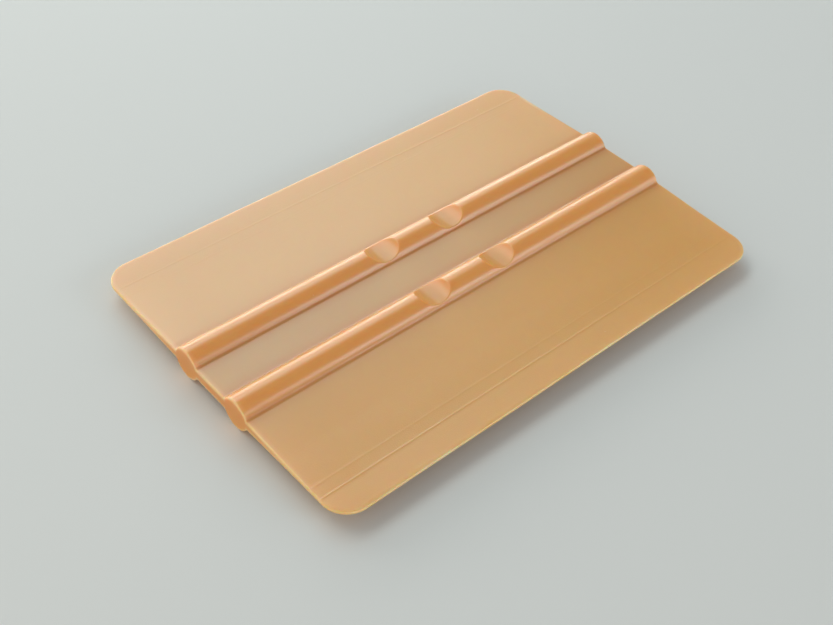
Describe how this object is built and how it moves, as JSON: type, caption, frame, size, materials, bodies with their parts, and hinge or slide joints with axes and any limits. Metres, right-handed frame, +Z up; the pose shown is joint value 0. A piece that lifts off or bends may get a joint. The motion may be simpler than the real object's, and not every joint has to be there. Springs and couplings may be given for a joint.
{
  "type": "squeegee applicator",
  "caption": "Flexible rectangular card squeegee for smoothing vinyl film: tapered wings to two thin working edges, round grip ribs along the middle, finger scoops.",
  "frame": {"origin": "on the surface the card lies on, under the centre of the card", "axes": "+X along the ribs and the working edges, +Y towards one working edge, +Z up through the card's thickness"},
  "size_m": [0.1016, 0.0698, 0.0063],
  "materials": {
    "gold_plastic": "satin, slightly translucent gold-peach moulded plastic with fine handling marks"
  },
  "bodies": {
    "root": {"applicator_card": "gold_plastic"}
  },
  "joints": []
}
